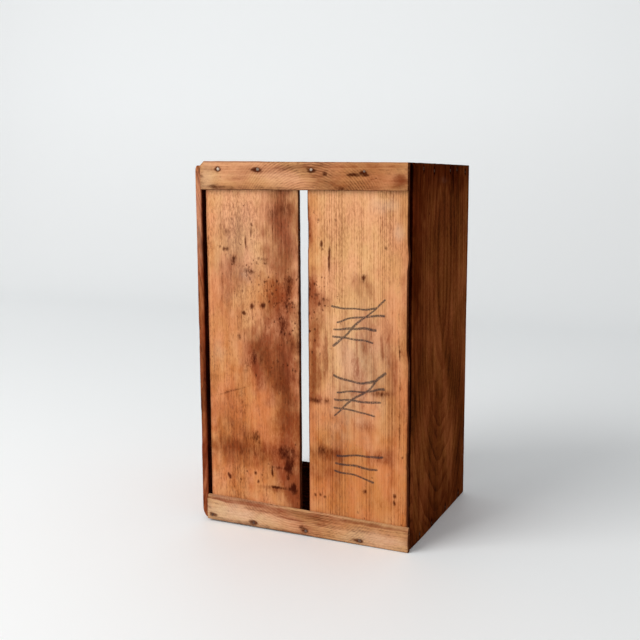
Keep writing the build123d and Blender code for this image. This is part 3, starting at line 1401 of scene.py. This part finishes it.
@dataclass
class Crate:
    """The whole crate: eight boards and six rows of nails."""

    nail_rows: dict[str, NailRow] = field(default_factory=lambda: {
        "cleat_upper": NailRow("nails_cleat_upper", (0, -1, 0), 0, 51, (1.0, 0.5, 1.0, 0.4)),
        "cleat_lower": NailRow("nails_cleat_lower", (0, -1, 0), 0, 52, (0.1, 0.1, 0.22, 0.18)),
        "left_upper": NailRow("nails_side_left_upper", (-1, 0, 0), 1, 53),
        "left_lower": NailRow("nails_side_left_lower", (-1, 0, 0), 1, 54),
        "right_upper": NailRow("nails_side_right_upper", (1, 0, 0), 1, 55),
        "right_lower": NailRow("nails_side_right_lower", (1, 0, 0), 1, 56),
    })

    def left_slat(self) -> Board:
        """The left slat: browner to its right, with a rusty patch and a dark water line.

        Returns:
            The board, ready to build.
        """
        timber = Timber(
            pale=srgb(238, 188, 142), mid=srgb(212, 154, 110), deep=srgb(128, 72, 42),
            heart=(-70.0, -90.0, 30.0),
            ring_pitch=3.9, ring_waver=5.0, rings=0.1, streaks=0.42, bands=0.6, ticks=0.2, grit=1.35,
            clouds=1.3,
        )
        marks = stains(
            Tint.AMBER,
            (69, 130, 125, 150, 0.95), (8, 290, 42, 70, 0.6), (2, 400, 14, 80, 0.5), (104, 326, 34, 26, 0.9),
        )
        marks += stains(
            Tint.BROWN,
            (120, 425, 30, 66, 0.8), (100, 420, 22, 50, 0.35), (114, 316, 32, 40, 0.8),
            (118, 240, 30, 64, 0.95),
            (76, 240, 30, 46, 0.9), (122, 140, 32, 64, 0.75), (118, 92, 32, 30, 0.8), (134, 50, 24, 40, 1.0),
            (45, 104, 70, 15, 0.5), (69, 88, 60, 10, 0.3), (60, 132, 16, 14, 0.5), (96, 58, 30, 4, 0.6),
            (20, 160, 30, 40, 0.3), (52, 392, 16, 26, 0.3), (22, 410, 10, 50, 0.3), (60, 352, 18, 16, 0.35),
            (110, 366, 34, 24, 0.6), (30, 350, 34, 34, 0.42), (69, 112, 90, 12, 0.5),
            (30, 300, 30, 40, 0.3),
        )
        marks += stains(
            Tint.DARK,
            (119, 437, 11, 14, 0.5), (99, 431, 7, 8, 0.5), (121, 342, 15, 10, 0.5),
            (124, 327, 5, 8, 0.65), (121, 312, 5, 9, 0.6), (113, 289, 9, 20, 0.5),
            (118, 235, 22, 60, 0.36), (86, 310, 5, 5, 1.0), (68, 307, 4, 5, 0.95),
            (56, 298, 4, 3.4, 0.95), (48, 265, 4, 6, 0.8), (41, 368, 4, 7, 0.7),
            (60, 356, 5, 5, 0.65), (68, 354, 5, 4, 0.65), (26, 383, 3, 3.4, 1.0),
            (32, 383, 2.8, 3, 0.8), (31, 408, 7, 6, 0.6), (70, 240, 6, 14, 0.6),
            (82, 236, 5, 12, 0.6), (59, 225, 6, 14, 0.6), (57, 129, 11, 7, 0.5),
            (73, 128, 7, 15, 0.55), (71, 106, 18, 9, 0.5), (118, 110, 20, 12, 0.85),
            (124, 91, 8, 12, 0.85), (128, 62, 6, 9, 0.9), (106, 60, 24, 2.2, 0.9),
            (108, 88, 26, 2.4, 0.6), (59.5, 393, 1.8, 12, 0.9), (68.5, 408, 1.8, 7, 0.8),
            (29, 67, 3.4, 4, 1.0), (27, 70, 2, 3, 0.9), (70, 76, 2.4, 3.4, 0.95), (96, 80, 2.2, 7, 1.0),
            (74, 65, 2.8, 3, 0.95), (120, 76, 2.8, 5, 0.9), (42, 80, 2.4, 4, 0.7),
            (80, 372, 16, 3, 0.5), (88, 366, 12, 2.4, 0.5), (136, 280, 3, 120, 0.5),
            (32, 188, 34, 2.0, 0.6, 18.0),
        )
        marks += stains(
            Tint.SPECK,
            (112, 334, 30, 24, 1.0), (92, 330, 18, 20, 0.7), (118, 300, 20, 36, 0.7),
            (76, 352, 30, 16, 0.35), (110, 250, 26, 60, 0.3), (60, 372, 50, 40, 0.16), (80, 72, 60, 12, 0.16),
        )
        marks += stains(Tint.PALE, (14, 244, 9, 16, 0.45), (58, 350, 9, 9, 0.4), (52, 390, 30, 60, 0.2))
        # The right edge, at the gap between the slats, is darkened fully as painted shade.
        return Board(
            "bottom_slat_left", "slat_wood", Lay.SLAT, -1, timber, seed=3,
            arris=0.7, bow=0.5, stains=marks, edge_grime_and_shade=(0.5, 1.0, 0.4, 0.4), back_shade=0.25,
            back_warmth=0.8,
        )

    def right_slat(self) -> Board:
        """The right slat: paler and finer in the grain, chipped at its right edge, and
        tallied in crayon.

        Returns:
            The board, ready to build.
        """
        timber = Timber(
            pale=srgb(238, 186, 138), mid=srgb(214, 157, 110), deep=srgb(134, 76, 42),
            heart=(-25.0, -260.0, 0.0),
            ring_pitch=3.4, ring_waver=1.6, rings=0.24, streaks=0.3, bands=0.6, ticks=0.14, grit=1.0,
            clouds=0.9,
        )
        marks = stains(
            Tint.AMBER,
            (69, 80, 130, 115, 0.95), (138, 200, 26, 130, 0.7), (0, 250, 20, 180, 0.6),
            (0, 420, 16, 60, 0.6), (138, 430, 14, 60, 0.4), (120, 340, 30, 60, 0.25),
        )
        marks += stains(
            Tint.BROWN,
            (1, 417, 7, 30, 0.9), (4, 334, 10, 26, 0.9), (16, 322, 16, 12, 0.6), (4, 240, 17, 90, 0.6),
            (76, 342, 22, 18, 0.45), (26, 249, 3, 32, 0.75), (69, 252, 2.6, 30, 0.6),
            (104, 263, 2.4, 16, 0.8), (121, 237, 4, 32, 0.6), (24, 118, 40, 11, 0.7), (14, 92, 34, 18, 0.45),
            (107, 120, 22, 13, 0.65), (82, 158, 14, 9, 0.5), (14, 188, 18, 7, 0.6), (94, 205, 26, 5, 0.5),
            (110, 62, 34, 12, 0.25), (134, 300, 5, 100, 0.5), (60, 200, 20, 60, 0.35),
            (131, 440, 10, 30, 0.3),
            (88, 290, 34, 44, 0.4), (10, 290, 22, 26, 0.5), (110, 215, 34, 60, 0.3), (52, 262, 5, 50, 0.45),
            (80, 240, 6, 60, 0.5), (112, 262, 5, 40, 0.45), (94, 215, 5, 46, 0.4), (64, 205, 4, 50, 0.4),
            (44, 100, 5, 60, 0.35), (88, 96, 5, 60, 0.35), (118, 110, 6, 50, 0.3), (8, 236, 3, 42, 0.55),
            (16, 226, 2.6, 36, 0.6), (22, 242, 2.4, 30, 0.5), (35, 236, 3, 42, 0.5), (44, 214, 2.6, 34, 0.45),
        )
        marks += stains(
            Tint.DARK,
            (14, 187, 16, 4, 0.7), (96, 204, 22, 3.4, 0.5), (19, 120, 20, 6, 0.5), (2, 418, 3, 22, 0.6),
            (2, 335, 3, 20, 0.6), (108, 390, 2.4, 3.6, 1.0), (19, 392, 3, 5, 1.0), (15, 424, 3, 3, 0.9),
            (79, 352, 3, 5, 0.95), (30.5, 373, 1.9, 18, 1.0), (127.5, 205, 1.6, 140, 0.62),
            (80, 72, 3.6, 3.4, 0.95), (122, 71, 3, 4, 1.0), (121, 62, 2.4, 4, 0.9),
            (23, 57, 3, 3.4, 1.0), (9, 58, 2.6, 3, 0.9), (17, 59, 2.4, 3, 0.9),
            (71, 42, 2.4, 2.6, 0.9), (12, 328, 3.4, 4, 0.8), (22, 322, 3, 4, 0.8), (16, 316, 3, 4, 0.8),
            (104, 122, 14, 3, 0.4), (98, 112, 3, 8, 0.4), (108, 444, 16, 6, 0.22), (118, 432, 10, 4, 0.22),
        )
        marks += stains(
            Tint.SPECK, (14, 324, 22, 24, 0.6), (6, 300, 12, 60, 0.4), (14, 400, 16, 40, 0.15),
            (70, 62, 80, 18, 0.04),
        )
        marks += stains(
            Tint.PALE, (98, 442, 12, 9, 0.3), (116, 443, 10, 8, 0.3), (127, 410, 7, 10, 0.55),
            (60, 190, 30, 80, 0.35),
            (76, 240, 36, 60, 0.3),
        )
        # The left edge, at the gap between the slats, and the right edge face, which looks away from the
        # light, are darkened as painted shade.
        return Board(
            "bottom_slat_right", "slat_wood", Lay.SLAT, -1, timber, seed=7,
            arris=0.7, bow=0.3, stains=marks, edge_grime_and_shade=(0.9, 1.0, 0.4, 0.4), back_shade=0.25,
            back_warmth=0.8,
            nibbles=[
                Nibble(1, 313, 70, 2.2), Nibble(1, 442, 66, 1.9), Nibble(1, 120, 14, 0.7),
                Nibble(-1, 405, 22, 0.6),
            ],
            strokes=self.tallies(),
        )

    def tallies(self) -> list[Stroke]:
        """A picker's count in crayon: two gates of five strokes and three strokes more. The
        strokes of a gate lean to and fro, and its last one crosses the others.

        Returns:
            The strokes.
        """
        left, right, step, gate = 40.0, 98.0, 14.0, 4
        strokes = []
        for foot, count in ((270.0, gate), (176.0, gate), (88.0, 3)):
            for number in range(count):
                lean = 3.0 * (number % 3 - 1)
                level = foot + step * number
                strokes.append(Stroke((left + lean, level - lean), (right + 2 * lean, level + 2.0 + lean)))
            if count == gate:
                strokes.append(Stroke((left - 4.0, foot - 9.0), (right + 8.0, foot + 52.0)))
        return strokes

    def cleats(self) -> list[Board]:
        """Both cleats: rough from the saw, one with a sawn corner and one with wane.

        Returns:
            The upper and the lower cleat, ready to build.
        """
        upper_timber = Timber(
            pale=srgb(222, 170, 124), mid=srgb(192, 137, 95), deep=srgb(112, 66, 42),
            heart=(-45.0, -28.0, 40.0),
            ring_pitch=3.0, ring_waver=5.0, rings=0.1, streaks=0.4, ticks=0.16, saw=0.27,
            saw_centre=(-66.0, 12.0), saw_pitch=3.2, saw_reach=128.0, clouds=1.5, relief=1.5, sheen=0.0,
        )
        upper_marks = stains(
            Tint.DARK,
            (5, 29, 5, 20, 0.7), (20, 3, 18, 6, 0.6), (31, 132, 3, 22, 0.6), (24, 184, 4, 4, 0.95),
            (18, 252, 3, 6, 0.4), (3, 150, 3, 150, 0.5), (22, 222, 3.4, 9, 0.95), (22, 240, 2.6, 6, 0.6),
        )
        upper_marks += stains(
            Tint.BROWN,
            (12, 190, 14, 34, 0.5), (14, 250, 20, 30, 0.35), (34, 215, 3, 90, 0.5), (32, 140, 3, 60, 0.4),
            (18, 64, 10, 22, 0.35), (12, 284, 14, 11, 0.85), (30, 14, 5, 20, 0.4), (12, 178, 14, 24, 0.35),
            (10, 58, 14, 50, 0.24), (28, 92, 7, 60, 0.3),
        )
        upper_marks += stains(Tint.AMBER, (18, 240, 40, 64, 0.6), (8, 100, 10, 60, 0.3))
        upper_marks += stains(Tint.PALE, (17, 12, 20, 14, 0.32), (14, 118, 14, 30, 0.2))
        lower_timber = Timber(
            pale=srgb(228, 184, 142), mid=srgb(202, 150, 108), deep=srgb(120, 74, 48),
            heart=(-50.0, 60.0, -30.0),
            ring_pitch=2.8, ring_waver=4.0, rings=0.15, streaks=0.45, bands=0.6, ticks=0.15, saw=0.2,
            saw_centre=(90.0, -10.0), saw_pitch=3.2, saw_reach=170.0, clouds=1.2, relief=1.6, sheen=0.0,
        )
        lower_marks = stains(
            Tint.DARK, (3, 50, 5, 60, 0.5), (2, 150, 4, 60, 0.5), (8, 148, 8, 10, 0.5), (22, 4, 12, 5, 0.5),
        )
        lower_marks += stains(Tint.AMBER, (28, 200, 9, 120, 0.6), (8, 150, 14, 50, 0.6))
        lower_marks += stains(
            Tint.BROWN, (8, 158, 12, 28, 0.5), (20, 296, 30, 6, 0.4), (35, 240, 3, 90, 0.5),
            (34, 60, 4, 90, 0.6),
        )
        lower_marks += stains(
            Tint.PALE, (16, 34, 16, 44, 0.5), (12, 110, 12, 50, 0.3), (14, 252, 14, 44, 0.35),
        )
        # The right ends of both cleats are darkened fully as painted shade, on end faces that look away from
        # the light.
        return [
            Cleat(
                "cleat_upper", "cleat_wood", Lay.CLEAT, -1, upper_timber, seed=11, cell=0.8,
                grain_cell=1.0, arris=0.9, ruggedness=0.8, stains=upper_marks,
                edge_grime_and_shade=(0.7, 0.3, 0.6, 1.0), nails=[self.nail_rows["cleat_upper"]], corner_cut=6.5,
            ),
            Cleat(
                "cleat_lower", "cleat_wood", Lay.CLEAT, -1, lower_timber, seed=12, cell=0.8,
                grain_cell=1.0, arris=0.9, ruggedness=0.9, right_width=32.6, stains=lower_marks,
                edge_grime_and_shade=(0.7, 0.0, 0.5, 1.0),
                nails=[self.nail_rows["cleat_lower"]],
                wane_heights=(
                    (0.0, 5), (0.12, 9), (0.2, 12), (0.27, 17), (0.4, 19), (0.5, 21), (0.6, 20),
                    (0.68, 13), (0.76, 7.5), (1.0, 7),
                ),
            ),
        ]

    def sides(self) -> list[Board]:
        """Both side boards: dark, flat-sawn, with the tall arches of rings cut near the heart. The
        right board's colours are darker than the left's: partly darker wood, partly painted
        shade of the side that looks away from the lamp.

        Returns:
            The left and the right side board, ready to build.
        """
        # The right board's dark colours are partly painted shade: it looks away from the window lamp.
        right_shaded_timber = Timber(
            pale=srgb(146, 84, 44), mid=srgb(108, 53, 22), deep=srgb(54, 22, 9),
            heart=(-62.0, -2.0, 112.0),
            ring_pitch=8.2, ring_bow=0.62, ring_waver=11.0, rings=0.26, clouds=1.7, sheen=0.0, dullness=0.85,
        )
        left_timber = Timber(
            pale=srgb(206, 138, 96), mid=srgb(168, 98, 60), deep=srgb(84, 40, 24),
            heart=(-58.0, -30.0, -60.0),
            ring_pitch=5.0, ring_bow=0.6, ring_waver=6.0, rings=0.34, clouds=1.5, sheen=0.0, dullness=0.85,
        )
        right_marks = stains(
            Tint.BROWN,
            (8, 460, 44, 80, 0.9), (8, 350, 32, 110, 0.75), (120, 492, 180, 44, 0.85),
            (120, 20, 190, 62, 0.5),
            (244, 90, 24, 100, 0.4), (190, 130, 40, 20, 0.3), (20, 240, 20, 60, 0.3),
        )
        right_marks += stains(Tint.DARK, (27, 60, 4, 50, 0.5), (126, 480, 4, 5, 0.8), (8, 190, 6, 20, 0.5))
        right_marks += stains(Tint.PALE, (122, 474, 18, 4, 0.12))
        left_marks = stains(
            Tint.BROWN, (0, 70, 14, 120, 0.75), (0, 250, 12, 70, 0.55), (130, 490, 120, 30, 0.5),
            (130, 10, 120, 50, 0.5),
            (0, 350, 12, 60, 0.5),
        )
        left_marks += stains(Tint.DARK, (0, 150, 8, 8, 0.5), (0, 60, 8, 10, 0.5), (0, 340, 6, 10, 0.55))
        left_marks += stains(Tint.PALE, (0, 420, 14, 60, 0.3))
        left_rows = [self.nail_rows["left_upper"], self.nail_rows["left_lower"]]
        right_rows = [self.nail_rows["right_upper"], self.nail_rows["right_lower"]]
        return [
            SideBoard(
                "side_board_left", "side_wood", Lay.SIDE, -1, left_timber, seed=21, arris=0.6,
                ruggedness=0.6, undulation=0.1, nails=left_rows, stains=left_marks, back_shade=0.9,
                nibbles=[Nibble(-1, 130, 30, 0.8), Nibble(-1, 262, 18, 0.6)],
            ),
            SideBoard(
                "side_board_right", "side_wood", Lay.SIDE, 1, right_shaded_timber, seed=22, arris=1.1,
                nails=right_rows, stains=right_marks, back_shade=0.7, corner_depth=1.5, slat_shadow_share=0.64,
                nibbles=[Nibble(-1, 200, 60, 0.5)],
            ),
        ]

    def ends(self) -> list[Board]:
        """Both end boards: thick and rough from the saw, their inner faces darkened as painted shade.

        Returns:
            The lower and the upper end board, ready to build.
        """
        made = []
        for node, face, seed, shift in (("end_board_lower", -1, 31, 30.0), ("end_board_upper", 1, 32, -40.0)):
            timber = Timber(
                pale=srgb(140, 78, 40), mid=srgb(98, 44, 16), deep=srgb(44, 16, 5),
                heart=(-80.0, shift, 60.0),
                ring_pitch=3.6, ring_bow=0.25, ring_waver=6.0, rings=0.25, saw=0.2, saw_centre=(0.0, -330.0),
                saw_pitch=4.5, clouds=1.6, relief=1.5, sheen=0.0, dullness=0.85,
            )
            made.append(Board(
                node, "end_wood", Lay.END, face, timber, seed=seed, arris=0.9, ruggedness=0.7, back_shade=0.8,
            ))
        return made

    def build(self) -> None:
        """Builds and reports every board and nail row."""
        steel = RustedSteel().material()
        boards = [self.left_slat(), self.right_slat(), *self.cleats(), *self.sides(), *self.ends()]
        for maker in boards:
            self.report(maker.build())
        for row in self.nail_rows.values():
            self.report(row.build(steel))

    def report(self, piece: bpy.types.Object) -> None:
        """Logs a piece's name and number of faces."""
        LOG.info("%s: %d faces", piece.name, len(piece.data.polygons))


# ---- The studio ----


@dataclass(frozen=True)
class Lamp:
    """A soft box: where it hangs, what it is aimed at, its size and its power."""

    name: str
    place: tuple[float, float, float]
    target: tuple[float, float, float]
    size: float
    watts: float
    colour: Colour = (1.0, 1.0, 1.0)

    def build(self) -> None:
        """Adds the lamp, unseen by the camera."""
        data = bpy.data.lights.new(self.name, "AREA")
        data.shape = "SQUARE"
        data.size, data.energy, data.color = self.size, self.watts, self.colour
        lamp = bpy.data.objects.new(self.name, data)
        lamp.location = self.place
        lamp.rotation_euler = (Vector(self.target) - Vector(self.place)).to_track_quat("-Z", "Y").to_euler()
        lamp.visible_camera = False
        bpy.context.scene.collection.objects.link(lamp)


@dataclass(frozen=True)
class Studio:
    """A plain pale floor that sweeps up into a backdrop, soft light and one camera.

    azimuth, pitch and roll are the camera's, in degrees; azimuth turns it from looking
    straight at the slats towards the right side board. The sweep's sizes are in millimetres.
    """

    azimuth: float = 24.31
    pitch: float = 8.456
    roll: float = -0.277
    camera_place: tuple[float, float, float] = (0.5211, -1.2084, 0.4717)
    lens: float = 52.18
    lamps: tuple[Lamp, ...] = (
        Lamp("window", (-1.55, -2.1, 1.85), (0.0, 0.0, 0.25), 2.2, 78.0, (1.0, 0.985, 0.96)),
        Lamp("backdrop wash", (-3.2, 0.9, 1.2), (-2.5, 2.7, 0.5), 2.0, 7.0, (1.0, 0.98, 0.96)),
    )
    ambient: float = 0.5
    sky: Colour = (1.0, 0.99, 0.98)
    floor_colour: Colour = srgb(245, 248, 250)
    sweep_radius: float = 900.0
    sweep_back: float = 2700.0
    sweep_front: float = -4200.0
    sweep_half_width: float = 5000.0
    sweep_top: float = 3400.0

    def build(self) -> None:
        """Adds the floor, the light and the camera."""
        self.add_floor()
        self.add_world()
        for lamp in self.lamps:
            lamp.build()
        self.add_camera()

    def add_floor(self) -> None:
        """The sweep: a floor, a quarter circle and a wall, one profile carried along X."""
        radius, wall = self.sweep_radius, self.sweep_back
        turn = np.linspace(0, np.pi / 2, 25)
        depth = np.concatenate([[self.sweep_front], wall - radius + radius * np.sin(turn), [wall]])
        height = np.concatenate([[0.0], radius - radius * np.cos(turn), [self.sweep_top]])
        sides = [-self.sweep_half_width, self.sweep_half_width]
        x, row = np.meshgrid(sides, np.arange(len(depth)), indexing="ij")
        points = np.column_stack([x.ravel(), depth[row.ravel()], height[row.ravel()]])
        floor = new_piece("studio_sweep", points, [grid_quads(np.arange(x.size).reshape(x.shape))])
        matt = bpy.data.materials.new("sweep paper")
        matt.use_nodes = True
        skin = matt.node_tree.nodes["Principled BSDF"].inputs
        skin["Base Color"].default_value = (*self.floor_colour, 1.0)
        skin["Roughness"].default_value = 0.55
        floor.data.materials.append(matt)

    def add_world(self) -> None:
        """Even pale light from all round."""
        world = bpy.data.worlds.new("studio")
        world.use_nodes = True
        background = world.node_tree.nodes["Background"].inputs
        background["Color"].default_value = (*self.sky, 1.0)
        background["Strength"].default_value = self.ambient
        bpy.context.scene.world = world
        bpy.context.scene.view_settings.view_transform = "Standard"

    def add_camera(self) -> None:
        """Aims the camera: it looks along -sin(azimuth), cos(azimuth), pitched down."""
        turn, tip, roll = np.radians([self.azimuth, self.pitch, self.roll])
        ahead = np.array([-np.sin(turn) * np.cos(tip), np.cos(turn) * np.cos(tip), -np.sin(tip)])
        level = np.array([np.cos(turn), np.sin(turn), 0.0])
        upright = np.cross(level, ahead)
        right = np.cos(roll) * level + np.sin(roll) * upright
        up = np.cos(roll) * upright - np.sin(roll) * level
        data = bpy.data.cameras.new("camera")
        data.lens = self.lens
        camera = bpy.data.objects.new("camera", data)
        axes = Matrix(np.column_stack([right, up, -ahead]).tolist())
        camera.matrix_world = Matrix.Translation(self.camera_place) @ axes.to_4x4()
        bpy.context.scene.collection.objects.link(camera)
        bpy.context.scene.camera = camera


EFFECTS = Effects()


def main() -> None:
    """Builds the crate and the studio round it."""
    logging.basicConfig(level=logging.INFO, format="%(name)s: %(message)s")
    Crate().build()
    Studio().build()


if __name__ == "__main__":
    main()
